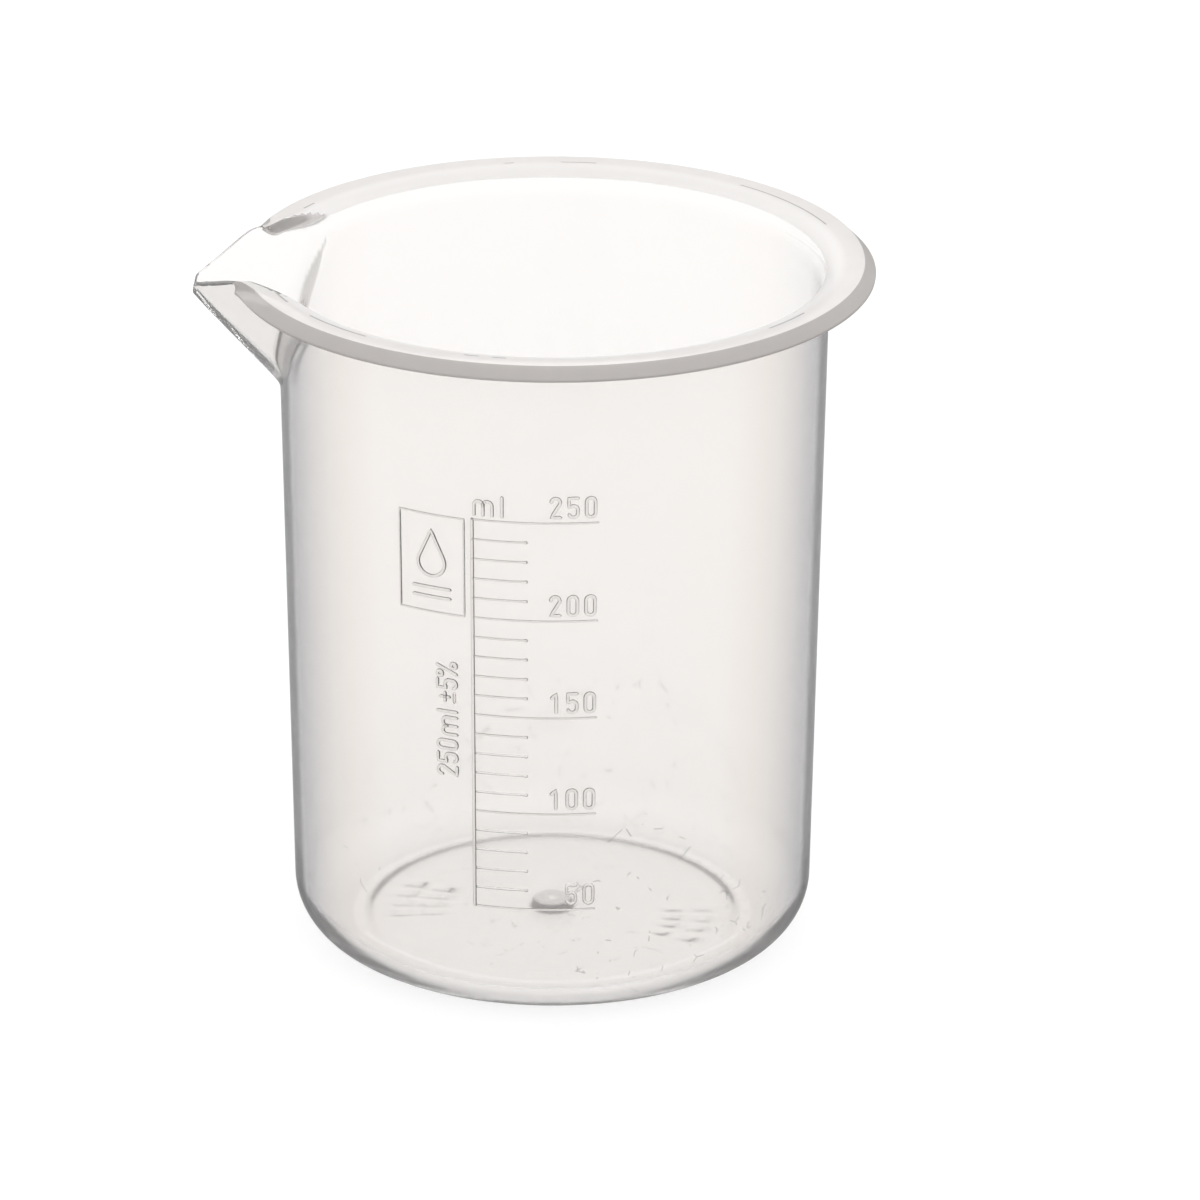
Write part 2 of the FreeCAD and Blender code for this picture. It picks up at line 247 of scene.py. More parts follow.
def vesselProfile():
    # rings of the round vessel, from the middle of the underside to the middle of the inner floor
    v = vessel
    rings = []

    def lay(part, places):
        for place in places:
            rings.append({"part": part, "radius": place[0], "height": place[1]})

    heelCentre = wallRadius(v["heelRadius"]) - v["heelRadius"]
    innerHeel = v["heelRadius"] - v["wall"]
    lay("foot", [(r, v["recess"]) for r in v["footRings"]])
    for row in v["markRows"]:
        ease, end = v["markChamfer"], row + v["markDepth"]
        places = (row - ease, row + ease, row + v["markDepth"] / 2.0, end - ease, end + ease)
        lay("foot", [(r, v["recess"]) for r in places])
    step = v["stepRounding"]
    for share in spread(0.0, 1.0, 6):
        lay("foot", [(v["recessRadius"] + (share - 0.5) * 4.0 * step,
                      v["recess"] * smoothStep(1.0, 0.0, share))])
    lay("foot", [(r, 0.0) for r in v["standRings"]])
    lay("foot", arc((heelCentre, v["heelRadius"]), v["heelRadius"], -90, 0, 16))
    for height in spread(v["straightFrom"], v["spoutFoot"], 10):
        lay("foot", [(wallRadius(height), height)])
    for height in spread(v["spoutFoot"], v["flareStart"], 50):
        lay("outer", [(wallRadius(height), height)])
    fillet = v["underFillet"]
    lay("outer", arc((wallRadius(v["flareStart"]) + fillet, v["flareStart"]), fillet, 180, 90, 7))
    lay("under", [(r, v["flangeUnder"]) for r in v["underRings"]])
    lipFoot = v["lipFoot"]
    lay("lip", arc((v["flangeRadius"] - lipFoot, v["flangeUnder"] + lipFoot), lipFoot, -90, 0, 3))
    bevel = v["lipBevel"]
    lay("lip", [(v["flangeRadius"] - bevel * share, v["height"] - bevel * (1.0 - share))
                for share in v["bevelRings"]])
    lay("top", [(r, v["height"]) for r in v["topRings"]])
    lay("inner", arc((flareRadius(), v["height"] - v["innerFillet"]), v["innerFillet"], 90, 180, 9))
    for height in spread(v["height"] - v["innerFillet"], v["spoutFoot"], 52)[1:]:
        lay("inner", [(innerWallRadius(height), height)])
    for height in spread(v["spoutFoot"], v["straightFrom"], 10):
        lay("bowl", [(innerWallRadius(height), height)])
    lay("bowl", arc((heelCentre, v["floorTop"] + innerHeel), innerHeel, 0, -90, 14))
    lay("bowl", [(r, v["floorTop"]) for r in v["floorRings"]])
    pipTop, chamfer = v["floorTop"] + v["pipHeight"], v["pipChamfer"]
    lay("bowl", [(v["pipRadius"], v["floorTop"] + v["pipFoot"]),
                 (v["pipRadius"] - chamfer, pipTop - chamfer), (v["pipRadius"] - v["pipRounding"], pipTop)])
    lay("bowl", [(r, pipTop) for r in v["pipRings"]])
    return rings


def sideShare(angle):
    # the side faces stand at 45 degrees to the axis in the plan
    return math.cos(angle) + math.sin(abs(angle))


def trough(height, angle, inside=False):
    # radius of the spout's outer or inner faces at this height
    s = spout
    if abs(angle) > s["widest"]:
        return 0.0
    plane = s["sideReach"] - s["sideFall"] * (vessel["height"] - height)
    side = plane / sideShare(angle)
    lift = rise = 0.0
    if inside:
        lift, rise = s["floorLift"], s["innerRise"]
        inset = s["insetNear"] - s["insetLoss"] * (
            plane * math.cos(angle) / sideShare(angle) - s["insetFrom"])
        side = (plane - inset) / sideShare(angle)
    ridge = (s["ridgeRadius"] + (height - lift - s["ridgeHeight"]) / s["ridgeClimb"]) / math.cos(angle)
    softness = mix(*s["ridgeRounding"], smoothStep(*s["ridgeSpan"], height - rise))
    return smoothMin(side, ridge, softness)


def lipReach(angle):
    # plan outline of the rim and spout
    s = spout
    size = abs(angle)
    if size > s["widest"]:
        return vessel["flangeRadius"]
    sides = s["outlineSize"] / (math.sin(size) + s["outlineSlope"] * math.cos(size))
    sine = s["tipCentre"] * math.sin(size)
    if sine < s["tipRounding"]:
        tip = s["tipCentre"] * math.cos(size) + math.sqrt(s["tipRounding"] ** 2 - sine ** 2)
        sides = smoothMin(sides, tip, s["tipSoftness"]) if size < s["tipWidth"] else sides
    return smoothMax(vessel["flangeRadius"], sides, s["cornerNear"] if angle > 0 else s["cornerFar"])


def lipTop(angle):
    s = spout
    reach = lipReach(angle)
    fall = smoothMax(0.0, reach * math.cos(angle) - s["edgeStart"], s["edgeSoftness"]) * s["edgeFall"]
    top = vessel["height"] - fall * smoothStep(*s["edgeEnds"], math.degrees(abs(angle)))
    if abs(angle) > s["widest"]:
        return top
    # where the channel runs out through the tip, the edge dips to it
    inside = reach - s["runOut"]
    floorHere = s["ridgeHeight"] + s["floorLift"] + s["ridgeClimb"] * (
        inside * math.cos(angle) - s["ridgeRadius"])
    sideHere = vessel["height"] - (
        s["sideReach"] - s["runOutSide"] - inside * sideShare(angle)) / s["sideFall"]
    return smoothMin(top, max(floorHere, sideHere), s["runOutSoftness"])


def blockRelief(radius, angle):
    # how far the underside is raised here by a row of blocks
    v = vessel
    inRow = any(row < radius < row + v["markDepth"] for row in v["markRows"])
    turned = math.degrees(angle)
    for centre in v["markCentres"]:
        for place in v["markPlaces"]:
            away = abs((turned - centre - place * v["markPitch"] + 180.0) % 360.0 - 180.0)
            if inRow and away < v["markAngle"] / 2.0:
                return v["markRelief"]
    return 0.0


def layRing(ring, angle):
    # radius and height of one ring on the meridian at this angle from the spout's axis
    v, s = vessel, spout
    radius, height, part = ring["radius"], ring["height"], ring["part"]
    if part == "foot" and radius < v["recessRadius"] - v["recessEdge"]:
        return radius, height - blockRelief(radius, angle)
    if part in ("foot", "bowl"):
        return radius, height
    turned = math.degrees(abs(angle))
    reach = lipReach(angle)
    top = lipTop(angle)
    thin, thick = s["swoopNear"] if angle > 0 else s["swoopFar"]
    swoop = smoothStep(thick, thin, turned)
    lipLow = top - mix(v["height"] - v["flangeUnder"], s["band"], swoop)

    def outerAt(place):
        # place is the height on the re-laid meridian
        plain = wallRadius(min(place, v["flareStart"]))
        if place > v["flareStart"]:
            rise = min(place - v["flareStart"], v["underFillet"])
            plain += filletRun(v["underFillet"], rise) * (1.0 - swoop)
        return min(smoothMax(plain, trough(place, angle), foldSize(place)), reach)

    def innerAt(place):
        start = v["height"] - v["innerFillet"]
        plain = innerWallRadius(min(place, start))
        if place > start:
            rise = min(place - start, v["innerFillet"])
            plain += filletRun(v["innerFillet"], rise)
        return smoothMax(plain, trough(place, angle, inside=True), s["foldInside"])

    outerEnd = mix(v["flangeUnder"], lipLow - s["bandFoot"], swoop)
    foot = v["spoutFoot"]
    innerTop = top - s["edgeDrop"] * swoop
    inside = innerAt(innerTop)
    rounding = min(v["lipBevel"], s["roundingShare"] * (reach - inside))
    if part == "outer":
        share = (height - foot) / (v["flangeUnder"] - foot)
        height = mix(foot, outerEnd, share)
        return outerAt(height), height
    corner = reach - v["lipFoot"]
    if part == "under":
        start = wallRadius(v["flareStart"]) + v["underFillet"]
        share = (radius - start) / (v["flangeRadius"] - v["lipFoot"] - start)
        height = mix(outerEnd, lipLow, share)
        flat = mix(outerAt(outerEnd), corner, share)
        return mix(flat, outerAt(height), swoop), height
    if part == "lip":
        lift = (height - v["flangeUnder"]) / (v["height"] - v["flangeUnder"])
        height = mix(lipLow, top, lift)
        outside = mix(reach, outerAt(height), swoop)
        return outside - (v["flangeRadius"] - radius) * rounding / v["lipBevel"], height
    if part == "top":
        flat = v["flangeRadius"] - v["lipBevel"]
        share = (flat - radius) / (flat - flareRadius())
        outside = mix(reach, outerAt(top), swoop) - rounding
        return mix(outside, inside, share), mix(top, innerTop, share)
    share = (height - foot) / (v["height"] - foot)
    height = mix(foot, innerTop, share)
    return innerAt(height), height


def foldSize(height):
    # rounding of the outer fold, small at its foot
    return mix(spout["foldFoot"], spout["foldOutside"], smoothStep(*spout["foldSpan"], height))


def outerFoldAt(ring, height, angle):
    # how much of the outer fold's shade this place takes
    if ring["part"] != "outer":
        return 0.0
    size = foldSize(height)
    apart = abs(wallRadius(height) - trough(height, angle))
    return smoothStep(size, spout["outerShade"] * size, apart)


def innerFoldAt(ring, height, angle):
    # how much of the inner fold's painted shade this place takes
    s = spout
    if ring["part"] != "inner" or height > s["shadeTop"]:
        return 0.0
    size = s["foldInside"] * smoothStep(s["shadeTop"], s["shadeFull"], height)
    apart = abs(innerWallRadius(height) - trough(height, angle, inside=True))
    return smoothStep(size, s["innerShade"] * size, apart)


def hazeAt(ring):
    # how milky the plastic looks here
    gate = ring["part"] == "bowl" and ring["radius"] < vessel["pipRadius"] + vessel["gateEdge"]
    return vessel["gateHaze"] if gate else 0.0


def finishAt(ring, angle):
    # 0 clear wall, 1 the lip's outer band, 2 the flange's top
    thin = spout["swoopNear" if angle > 0 else "swoopFar"][0]
    if math.degrees(abs(angle)) < thin:
        return 0
    if ring["part"] == "lip":
        return 1
    if ring["part"] == "top":
        return 2
    flared = ring["part"] == "inner" and ring["height"] > vessel["milkyFrom"]
    outsideTrough = trough(ring["height"], angle, inside=True) < ring["radius"]
    return 2 if flared and outsideTrough else 0


def meridianAngle(step):
    # angle from the spout's axis, crowded towards it
    even = math.tau * step / vessel["turns"]
    if even > math.pi:
        even -= math.tau
    return even - vessel["crowding"] * math.sin(even)


def makeObject(name, mesh, materials, nodes):
    made = bpy.data.objects.new(name, mesh)
    bpy.context.scene.collection.objects.link(made)
    for material in materials:
        made.data.materials.append(material)
    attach(made, "root")
    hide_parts(*nodes)
    return made


def meshFrom(bm, name, smooth=True):
    bmesh.ops.recalc_face_normals(bm, faces=bm.faces)
    mesh = bpy.data.meshes.new(name)
    bm.to_mesh(mesh)
    bm.free()
    for face in mesh.polygons:
        face.use_smooth = smooth
    return mesh


def buildVessel(materials):
    rings = vesselProfile()
    bm = bmesh.new()
    ringLayer = bm.verts.layers.int.new("ring")
    hazeLayer = bm.verts.layers.float.new("haze")
    insideLayer = bm.verts.layers.float.new("inside")
    finishLayer = bm.verts.layers.int.new("finish")
    outerFoldLayer = bm.verts.layers.float.new("outerFold")
    innerFoldLayer = bm.verts.layers.float.new("innerFold")
    places = []
    for number, ring in enumerate(rings):
        place = bm.verts.new((-ring["radius"] * mm, 0.0, ring["height"] * mm))
        place[ringLayer] = number
        places.append(place)
    edges = [bm.edges.new(pair) for pair in zip(places, places[1:])]
    bmesh.ops.spin(bm, geom=places + edges, cent=(0, 0, 0), axis=(0, 0, 1), angle=math.tau,
                   steps=vessel["turns"], use_merge=True, use_duplicate=False)
    for vert in bm.verts:
        ring = rings[vert[ringLayer]]
        if ring["radius"] == 0.0:
            vert.co.x = vert.co.y = 0.0
            continue
        turned = math.atan2(-vert.co.y, -vert.co.x)
        step = round(turned / math.tau * vessel["turns"]) % vessel["turns"]
        angle = meridianAngle(step)
        radius, height = layRing(ring, angle)
        vert.co = (-radius * math.cos(angle) * mm, -radius * math.sin(angle) * mm, height * mm)
        vert[hazeLayer] = hazeAt(ring)
        vert[insideLayer] = 1.0 if ring["part"] in ("inner", "bowl") else 0.0
        vert[finishLayer] = finishAt(ring, angle)
        vert[outerFoldLayer] = outerFoldAt(ring, height, angle)
        vert[innerFoldLayer] = innerFoldAt(ring, height, angle)
    bmesh.ops.remove_doubles(bm, verts=bm.verts, dist=vessel["weld"] * mm)
    for face in bm.faces:
        finishes = [vert[finishLayer] for vert in face.verts]
        face.material_index = max(finishes) if min(finishes) else 0
    mesh = meshFrom(bm, "vessel")
    return makeObject("vessel", mesh, materials,
                      ["wall", "heel_ring", "floor_disc", "rim", "spout", "gate_pip",
                       "base_marks_left", "base_marks_right"])


polypropylene = {
    # painted shade by how slantwise the wall is seen, from square on to edge-on: the upright wall darkens
    # towards its edge-on limb
    "edgeShade": [(0.0, (0.98, 0.96, 0.945)), (0.30, (0.98, 0.955, 0.935)), (0.42, (0.91, 0.86, 0.825)),
              (0.54, (0.74, 0.72, 0.71)), (0.64, (0.56, 0.56, 0.575)), (0.75, (0.46, 0.46, 0.48)),
              (0.80, (0.12, 0.12, 0.13)), (1.0, (0.09, 0.09, 0.10))],
    "body": (1.0, 0.985, 0.972, 1.0),
    "outerFold": (0.42, 0.41, 0.405, 1.0), # painted shade where the spout is folded out of the wall
    # painted shade along the inner fold, inside the spout
    "innerFold": (0.50, 0.485, 0.475, 1.0),
    "thick": (0.50, 0.49, 0.485, 1.0),     # where the plastic is thick and milky
    "level": 1.0,                # level surfaces keep the body's colour, free of the painted edge shade
    "foldSlant": (0.4, 0.6),     # the outer fold's shade shows from this slant to this one
    "insideShare": 0.25,         # and the inner surface takes this much of the slant's painted shade
    "clear": 0.90,
    "roughness": 0.06,
    "ior": 1.49,
}
milkyGrain = {
    "scale": 300.0,
    "paler": 1.07,               # the pale specks against the rest
}
# the lip's outer band: milky thick plastic, its grey deepened as painted shade
lipPlastic = {
    "colour": (0.44, 0.415, 0.40, 1.0),
    "clear": 0.30,
    "roughness": 0.35,
    "ior": 1.49,
}
flangePlastic = {
    "colour": (0.79, 0.765, 0.75, 1.0),
    "bright": (0.90, 0.88, 0.865, 1.0),    # inside the crease
    "clear": 0.25,
    "roughness": 0.35,
    "ior": 1.12,
    "crease": (0.45, 0.44, 0.43, 1.0),
    "creaseRadius": 0.0386,      # metres
    "creaseWidth": 0.00012,
    "creaseGaps": 60.0,          # noise that breaks the line up
    "creaseFrom": 0.55,
    "brightFrom": -0.0003,       # metres inside the crease
    "brightTo": 0.0012,
}
scuffs = {
    "cell": 260.0,               # cells per metre: each scuff is a bit of a cell's edge
    "width": 0.022,
    "breaks": 520.0,             # noise that breaks the edges into short pieces
    "breakFrom": 0.60,
    "patches": 38.0,             # noise that gathers them into patches
    "patchFrom": 0.74,
    "lowShare": 0.25,            # how much likelier they are at the foot
    "highest": 0.045,            # metres
    "colour": (0.58, 0.57, 0.56, 1.0),
}
raisedPlastic = {
    "body": (0.98, 0.965, 0.95, 1.0),
    "flankShade": (0.20, 0.20, 0.205, 1.0),     # painted shade on the left and right flanks of a stroke
    "shelfShade": (0.84, 0.83, 0.82, 1.0),      # lighter painted shade on its upper and lower flanks
    "flankFrom": 0.45,
    "flankTo": 0.80,
    "clear": 0.88,
    "roughness": 0.08,
    "ior": 1.49,
}


def tint(look, share, first, second):
    return look.add("ShaderNodeMix", {"data_type": "RGBA"}, {0: share, 6: first, 7: second}, 2)


def eased(look, value, start, end):
    return look.add("ShaderNodeMapRange", {"interpolation_type": "SMOOTHSTEP"}, {
        "Value": value, "From Min": start, "From Max": end, "To Min": 0.0, "To Max": 1.0})


def unsigned(look, value):
    return look.add("ShaderNodeMath", {"operation": "ABSOLUTE"}, {0: value})


def above(look, first, second):
    return look.add("ShaderNodeMath", {"operation": "GREATER_THAN"}, {0: first, 1: second})


def objectPlace(look):
    return look.add("ShaderNodeTexCoord", None, None, "Object")


def upPart(look, vector):
    return look.add("ShaderNodeSeparateXYZ", None, {"Vector": vector}, 2)


def levelPart(look, vector):
    return look.add("ShaderNodeVectorMath", {"operation": "MULTIPLY"}, {0: vector, 1: (1.0, 1.0, 0.0)})


def noise(look, place, size):
    return look.add("ShaderNodeTexNoise", None, {"Vector": place, "Scale": size}, "Fac")


def layer(look, name):
    return look.add("ShaderNodeAttribute", {"attribute_name": name}, None, "Fac")


def clearSurface(look, colour, p):
    surface = look.add("ShaderNodeBsdfPrincipled", None, {
        "Base Color": colour, "Roughness": p["roughness"], "IOR": p["ior"],
        "Transmission Weight": p["clear"]})
    look.add("ShaderNodeOutputMaterial", None, {"Surface": surface})
    return look.owner


def wallLook():
    p = polypropylene
    look = Look(bpy.data.materials.new("naturalPolypropylene"))
    # painted shade: the upright wall darkens as it turns edge-on to the view
    facing = look.add("ShaderNodeLayerWeight", None, {"Blend": 0.5}, "Facing")
    slanted = look.add("ShaderNodeValToRGB", {"stops": p["edgeShade"]}, {"Fac": facing})
    normal = look.add("ShaderNodeNewGeometry", None, None, "Normal")
    upright = 1.0 - unsigned(look, upPart(look, normal)) * p["level"]
    inside = layer(look, "inside")
    share = upright * (1.0 - inside * (1.0 - p["insideShare"]))
    aslant = eased(look, facing, *p["foldSlant"])
    colour = tint(look, share, p["body"], slanted)
    # painted shade along the spout's outer and inner folds
    colour = tint(look, layer(look, "outerFold") * aslant, colour, p["outerFold"])
    colour = tint(look, layer(look, "innerFold"), colour, p["innerFold"])
    colour = tint(look, layer(look, "haze"), colour, p["thick"])
    colour = tint(look, scuffMask(look) * (1.0 - inside), colour, scuffs["colour"])
    return clearSurface(look, colour, p)


def scuffMask(look):
    # short curved scratches in patches, mostly low on the wall
    p = scuffs
    place = objectPlace(look)
    edge = look.add("ShaderNodeTexVoronoi", {"feature": "DISTANCE_TO_EDGE"}, {
        "Vector": place, "Scale": p["cell"]}, "Distance")
    low = look.add("ShaderNodeMath", {"operation": "SUBTRACT", "use_clamp": True}, {
        0: 1.0, 1: upPart(look, place) * (1.0 / p["highest"])})
    patches = noise(look, place, p["patches"]) + low * p["lowShare"]
    return (above(look, p["width"], edge) * above(look, noise(look, place, p["breaks"]), p["breakFrom"])
            * above(look, patches, p["patchFrom"]))


def milkyLook(name, p):
    look = Look(bpy.data.materials.new(name))
    place = objectPlace(look)
    c = p["colour"]
    pale = tuple(min(1.0, channel * milkyGrain["paler"]) for channel in c[:3]) + (1.0,)
    colour = tint(look, noise(look, place, milkyGrain["scale"]), c, pale)
    if "crease" in p:
        # a broken hairline where the flat of the flange turns down into the vessel
        away = look.add("ShaderNodeVectorMath", {"operation": "LENGTH"}, {
            0: levelPart(look, place)}, "Value")
        gaps = noise(look, place, p["creaseGaps"])
        inwards = eased(look, p["creaseRadius"] - away, p["brightFrom"], p["brightTo"])
        colour = tint(look, inwards, colour, p["bright"])
        offset = unsigned(look, away - p["creaseRadius"])
        line = above(look, p["creaseWidth"], offset) * above(look, gaps, p["creaseFrom"])
        colour = tint(look, line, colour, p["crease"])
    return clearSurface(look, colour, p)


def raisedLook():
    # painted shade on the strokes' flanks: dark at the left and right, faint above and below
    p = raisedPlastic
    look = Look(bpy.data.materials.new("raisedPolypropylene"))
    normal = look.add("ShaderNodeNewGeometry", None, None, "Normal")
    place = objectPlace(look)
    outwards = look.add("ShaderNodeVectorMath", {"operation": "NORMALIZE"}, {
        0: levelPart(look, place)})
    along = look.add("ShaderNodeVectorMath", {"operation": "CROSS_PRODUCT"}, {
        0: outwards, 1: (0.0, 0.0, 1.0)})
    around = look.add("ShaderNodeVectorMath", {"operation": "DOT_PRODUCT"}, {0: normal, 1: along}, "Value")
    upwards = eased(look, unsigned(look, upPart(look, normal)), p["flankFrom"], p["flankTo"])
    sideways = eased(look, unsigned(look, around), p["flankFrom"], p["flankTo"])
    colour = tint(look, sideways, tint(look, upwards, p["body"], p["shelfShade"]), p["flankShade"])
    return clearSurface(look, colour, p)


# Raised marks are centre lines given a half-round section, then laid round the wall.
scale = {
    "relief": 0.25,
    "sink": 0.05,                # the beads stand this far into the wall
    "lineWidth": 0.28,
    "strokeWidth": 0.50,
    "boxiness": 0.6,             # below 1 the beads' sides are steeper and their tops flatter
    "left": -14.6,               # degrees from -Y towards +X
    "right": 11.1,
    "minorRight": -3.4,
    "step": 50,
    "volume": 250,
    "firstLine": 16.75,
    "spacing": 13.7,
    "minorSteps": 5,
    "dotSwell": 1.7,             # a small blob ends each short line
    "lineShift": 0.3,            # the upright line stands this many degrees further left
    "caps": ((0.45, 0.9), (0.8, 0.6), (1.0, 0.12)),   # how a bead rounds off: share on, share thick
    "capSteps": 2.25,            # steps of the cap in one radius
    "weld": 0.004,
}
lettering = {
    "height": 2.65,
    "halfWidth": 0.58,
    "pitch": 2.28,
    "gap": 0.70,
    "hump": 0.6,
    "shoulder": 1.35,
    "unitGap": 0.55,
    "unitOffsets": (("m", 1.3), ("l", 3.8)),
    "noteAngle": -18.6,
    "noteStart": 35.6,
    "notePitch": 1.85,
    "note": (("2", 1.0), ("5", 1.0), ("0", 1.45), ("m", 1.1), ("l", 1.1),   # letters and their widths
             ("+", 1.0), ("5", 1.1), ("%", 1.0)),
}
symbol = {
    "angle": -24.0,
    "halfWidth": 4.6,
    "low": 57.8,
    "high": 71.4,
    "dropRadius": 1.9,
    "dropCentre": 0.1,
    "dropPoint": 4.6,
    "levels": (-3.4, -4.7),
    "levelHalfWidth": 2.6,
}


def heightFor(volume):
    return scale["firstLine"] + (volume / scale["step"] - 1.0) * scale["spacing"]


def glyphLines(letter):
    # centre lines of one character, (across, up), with whether each is closed
    a, h = lettering["halfWidth"], lettering["height"]
    if letter == "0":
        return [(arc((0, h - a), a, 0, 180) + arc((0, a), a, 180, 360), True)]
    if letter == "1":
        return [([(-0.4, h - 0.6), (0.2, h), (0.2, 0)], False)]
    if letter == "2":
        return [(arc((0, h - a), a, 180, -40) + [(-a, 0), (a, 0)], False)]
    if letter == "5":
        top = [(a, h), (-a, h), (-a, h - 1.2)]
        return [(top + arc((0, h - 1.05 - a), a, 130, 0) + arc((0, a), a, 0, -160), False)]
    if letter == "m":
        hump, shoulder = lettering["hump"], lettering["shoulder"]
        first = [(-2 * hump, 0)] + arc((-hump, shoulder), hump, 180, 0) + [(0, 0)]
        return [(first, False), (arc((hump, shoulder), hump, 180, 0) + [(2 * hump, 0)], False)]
    if letter == "l":
        return [([(0, 0), (0, h)], False)]
    if letter == "+":
        return [([(-0.6, 1.6), (0.6, 1.6)], False), ([(0, 1.0), (0, 2.2)], False),
                ([(-0.6, 0.3), (0.6, 0.3)], False)]
    slash = [([(-0.55, 0), (0.55, h)], False)]
    rings = [(-0.62, h - 0.36), (0.62, 0.36)]
    return slash + [(arc(centre, 0.36, 0, 342, 19), True) for centre in rings]


def finer(points, closed, longest=0.6):
    # the same line with more points, so that it can follow the round wall
    made = [points[0]]
    for start, end in zip(points, points[1:] + (points[:1] if closed else [])):
        length = math.dist(start, end)
        if length < 1e-4:
            continue
        pieces = max(1, math.ceil(length / longest))
        made += [tuple(mix(a, b, i / pieces) for a, b in zip(start, end)) for i in range(1, pieces + 1)]
    return made[:-1] if closed else made


class Marks:
    # collects centre lines in the plane and turns them into one raised piece
    def __init__(self, name, width):
        self.name = name
        self.curve = bpy.data.curves.new(name + "Lines", "CURVE")
        self.curve.dimensions = "3D"
        self.curve.bevel_depth = width / 2.0
        self.curve.bevel_resolution = 2
        self.curve.use_fill_caps = True

    def line(self, points, closed, angle, height, upwards=False, blob=1.0):
        points = finer(list(points), closed)
        swell = [1.0] * (len(points) - 1) + [blob]
        if not closed:
            # round the ends off
            ahead = self.towards(points[0], points[1])
            behind = self.towards(points[-1], points[-2])
            for share, size in scale["caps"]:
                points.insert(0, self.beyond(points[0], ahead, share))
                points.append(self.beyond(points[-1], behind, share))
                swell = [size] + swell + [size * blob]
        spline = self.curve.splines.new("POLY")
        spline.points.add(len(points) - 1)
        spline.use_cyclic_u = closed
        for point, place, size in zip(spline.points, points, swell):
            across, up = (-place[1], place[0]) if upwards else place
            point.co = (across + math.radians(angle) * wallRadius(height), up + height, 0.0, 1.0)
            point.radius = size

    def towards(self, start, following):
        length = math.dist(start, following)
        return ((start[0] - following[0]) / length, (start[1] - following[1]) / length)

    def beyond(self, place, direction, share):
        step = self.curve.bevel_depth * share / scale["capSteps"]
        return (place[0] + direction[0] * step, place[1] + direction[1] * step)

    def finish(self, material, node, reference):
        # half-round section, then wrapped round the cone at the reference height
        flat = bpy.data.objects.new(self.name + "Flat", self.curve)
        mesh = bpy.data.meshes.new_from_object(flat)
        bpy.data.objects.remove(flat)
        bm = bmesh.new()
        bm.from_mesh(mesh)
        bmesh.ops.remove_doubles(bm, verts=bm.verts, dist=scale["weld"])
        radius = self.curve.bevel_depth
        for vert in bm.verts:
            rise = vert.co.z / radius
            rise = rise ** scale["boxiness"] * scale["relief"] if rise > 0 else rise * scale["sink"]
            around = vert.co.x / wallRadius(reference)
            out = (wallRadius(vert.co.y) + rise) * mm
            vert.co = (out * math.sin(around), -out * math.cos(around), vert.co.y * mm)
        made = makeObject(self.name, meshFrom(bm, self.name), [material], [node])
        bpy.data.meshes.remove(mesh)
        bpy.data.curves.remove(self.curve)
        return made


def buildScale(material):
    s = scale
    numbered = [s["step"] * n for n in range(1, s["volume"] // s["step"] + 1)]

    def across(angle, height):
        return math.radians(angle) * wallRadius(height)

    major = Marks("majorLines", s["lineWidth"])
    minor = Marks("minorLines", s["lineWidth"])
    for volume in numbered:
        height = heightFor(volume)
        major.line([(across(s["left"], height), 0), (across(s["right"], height), 0)], False, 0, height)
        for n in range(1, s["minorSteps"] if volume < s["volume"] else 1):
            height = heightFor(volume + n * s["step"] / s["minorSteps"])
            minor.line([(across(s["left"], height), 0), (across(s["minorRight"], height), 0)],
                       False, 0, height, blob=s["dotSwell"])
    low, high = heightFor(numbered[0]), heightFor(numbered[-1])
    middle = (low + high) / 2.0
    major.finish(material, "major_graduations", middle)
    minor.finish(material, "minor_graduations", middle)
    stem = Marks("scaleLine", s["strokeWidth"])
    stem.line([(0, low), (0, high)], False, s["left"] - s["lineShift"], 0)
    stem.finish(material, "scale_line", 0)
    for volume in numbered:
        base = heightFor(volume) + s["lineWidth"] / 2.0 + lettering["gap"]
        number = Marks("number" + str(volume), s["strokeWidth"])
        for place, letter in enumerate(reversed(str(volume))):
            offset = -lettering["pitch"] * place - lettering["halfWidth"] - s["strokeWidth"] / 2.0
            for points, closed in glyphLines(letter):
                number.line([(x + offset, z) for x, z in points], closed, s["right"], base)
        number.finish(material, "numeral_" + str(volume), base)
    base = high + s["lineWidth"] / 2.0 + lettering["unitGap"]
    unit = Marks("unit", s["strokeWidth"])
    for letter, offset in lettering["unitOffsets"]:
        for points, closed in glyphLines(letter):
            unit.line([(x + offset, z) for x, z in points], closed, s["left"], base)
    unit.finish(material, "unit_ml", base)


def buildNote(material):
    note = Marks("note", scale["strokeWidth"])
    height = 0.0
    for letter, advance in lettering["note"]:
        for points, closed in glyphLines(letter):
            lifted = [(x + height, z) for x, z in points]
            note.line(lifted, closed, lettering["noteAngle"], lettering["noteStart"], True)
        height += lettering["notePitch"] * advance
    note.finish(material, "accuracy_note", lettering["noteStart"])


def buildSymbol(material):
    s = symbol
    half = (s["high"] - s["low"]) / 2.0
    middle = s["low"] + half
    frameMarks = Marks("symbolFrame", scale["lineWidth"])
    corners = [(-1, -1), (1, -1), (1, 1), (-1, 1)]
    frameMarks.line([(x * s["halfWidth"], z * half) for x, z in corners], True, s["angle"], middle)
    frameMarks.finish(material, "symbol_frame", middle)
    touch = math.degrees(math.asin(s["dropRadius"] / (s["dropPoint"] - s["dropCentre"])))
    drop = Marks("symbolDrop", scale["strokeWidth"])
    outline = arc((0, s["dropCentre"]), s["dropRadius"], 180 - touch, 360 + touch, 24)
    drop.line(outline + [(0, s["dropPoint"])], True, s["angle"], middle)
    for level in s["levels"]:
        drop.line([(-s["levelHalfWidth"], level), (s["levelHalfWidth"], level)], False, s["angle"], middle)
    drop.finish(material, "symbol_drop", middle)


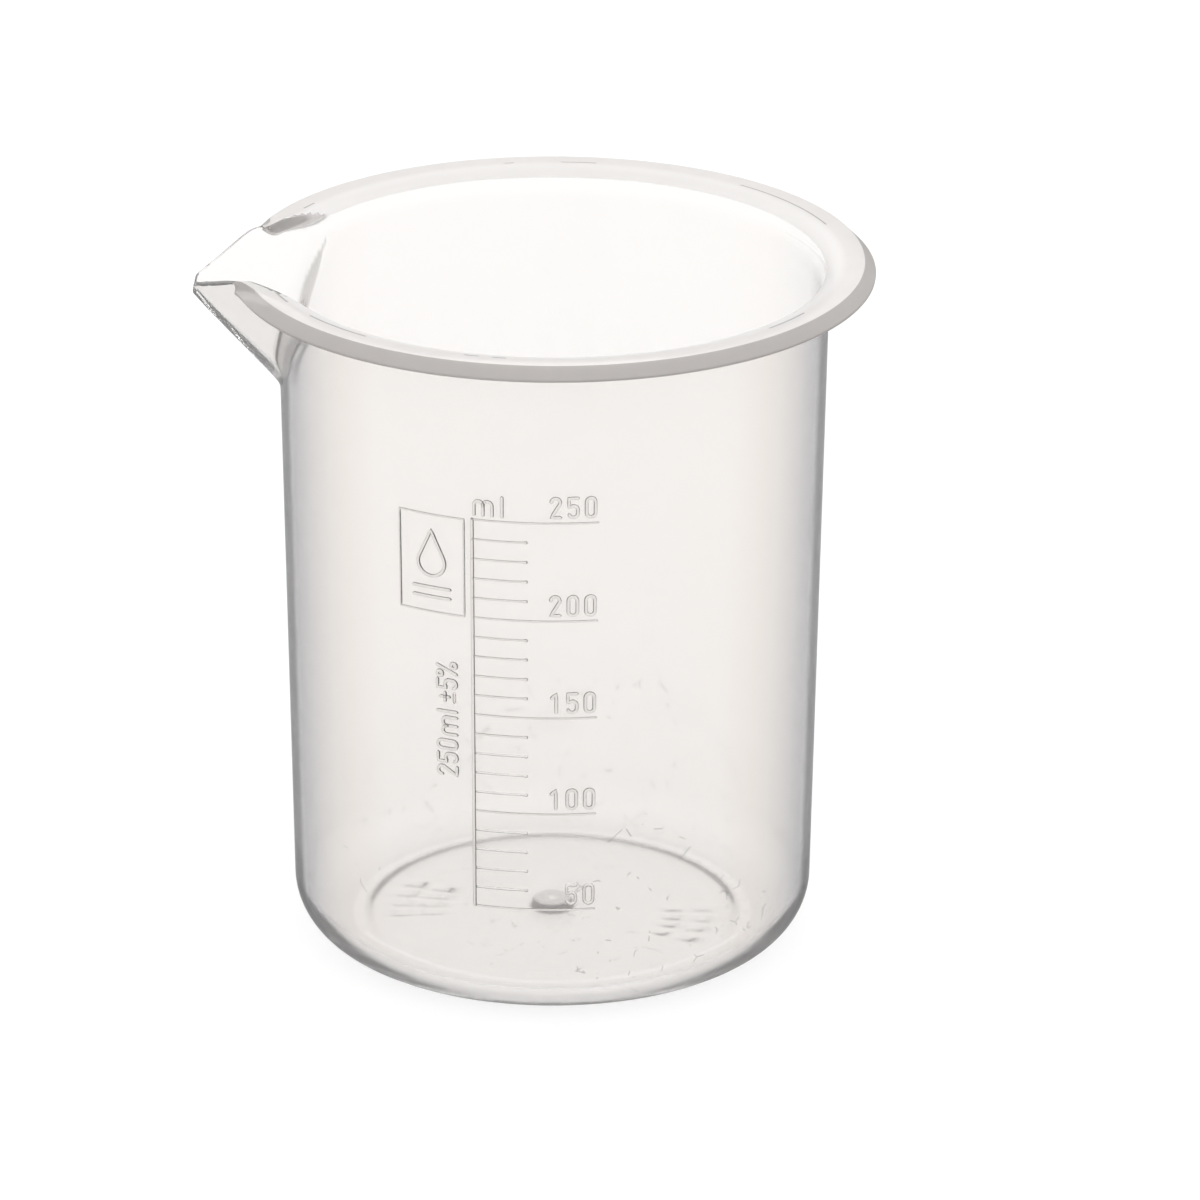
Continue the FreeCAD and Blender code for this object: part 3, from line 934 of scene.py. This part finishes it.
view = {
    "away": 998.09,
    "up": 451.07,
    "round": 2.0,                # degrees from -Y towards +X
    "turn": 1.639,
    "tilt": 67.93,
    "roll": 0.252,
    "lens": 241.47,
    "sensor": 36.0,
    "near": 0.01,
    "far": 50.0,
}
studio = {
    "floorSize": 3.0,
    "floorGrey": 0.25,
    "floorGlow": 0.78,
    "mirroredGlow": 0.15,        # the floor as the walls mirror it
    "floorRoughness": 0.9,
    "sky": [(0.0, 0.7), (0.5, 0.7), (0.62, 1.0), (0.8, 1.3)],   # light from below to above
}


def buildCamera():
    camera = bpy.data.objects.new("camera", bpy.data.cameras.new("camera"))
    bpy.context.scene.collection.objects.link(camera)
    camera.data.lens = view["lens"]
    camera.data.sensor_width = view["sensor"]
    camera.data.clip_start = view["near"]
    camera.data.clip_end = view["far"]
    side = math.radians(view["round"])
    place = Vector((math.sin(side) * view["away"], -math.cos(side) * view["away"], view["up"])) * mm
    turn = (Matrix.Rotation(math.radians(view["turn"]), 4, "Z")
            @ Matrix.Rotation(math.radians(view["tilt"]), 4, "X")
            @ Matrix.Rotation(math.radians(view["roll"]), 4, "Z"))
    camera.matrix_world = Matrix.Translation(place) @ turn
    bpy.context.scene.camera = camera


def buildStudio():
    bm = bmesh.new()
    bmesh.ops.create_grid(bm, x_segments=1, y_segments=1, size=studio["floorSize"])
    mesh = meshFrom(bm, "floor", False)
    floor = bpy.data.objects.new("floor", mesh)
    bpy.context.scene.collection.objects.link(floor)
    paper = Look(bpy.data.materials.new("palePaper"))
    grey = studio["floorGrey"]
    mirrored = paper.add("ShaderNodeLightPath", None, None, "Is Reflection Ray")
    glow = studio["floorGlow"] + mirrored * (studio["mirroredGlow"] - studio["floorGlow"])
    surface = paper.add("ShaderNodeBsdfPrincipled", None, {
        "Base Color": (grey, grey, grey, 1.0), "Roughness": studio["floorRoughness"],
        "Specular IOR Level": 0.0,
        "Emission Color": (1.0, 1.0, 1.0, 1.0), "Emission Strength": glow})
    paper.add("ShaderNodeOutputMaterial", None, {"Surface": surface})
    floor.data.materials.append(paper.owner)
    world = Look(bpy.data.worlds.new("studio"))
    bpy.context.scene.world = world.owner
    direction = world.add("ShaderNodeTexCoord", None, None, "Generated")
    up = upPart(world, direction)
    ramp = world.add("ShaderNodeValToRGB", {"stops": studio["sky"]}, {"Fac": up * 0.5 + 0.5})
    background = world.add("ShaderNodeBackground", None, {"Color": ramp, "Strength": 1.0})
    world.add("ShaderNodeOutputWorld", None, {"Surface": background})


raised = raisedLook()
buildVessel([wallLook(), milkyLook("milkyShadedLip", lipPlastic), milkyLook("milkyFlange", flangePlastic)])
print("stage: vessel")
buildScale(raised)
buildNote(raised)
buildSymbol(raised)
print("stage: raised marks")
buildCamera()
buildStudio()
bpy.context.scene.view_settings.view_transform = "Standard"
print("stage: studio")
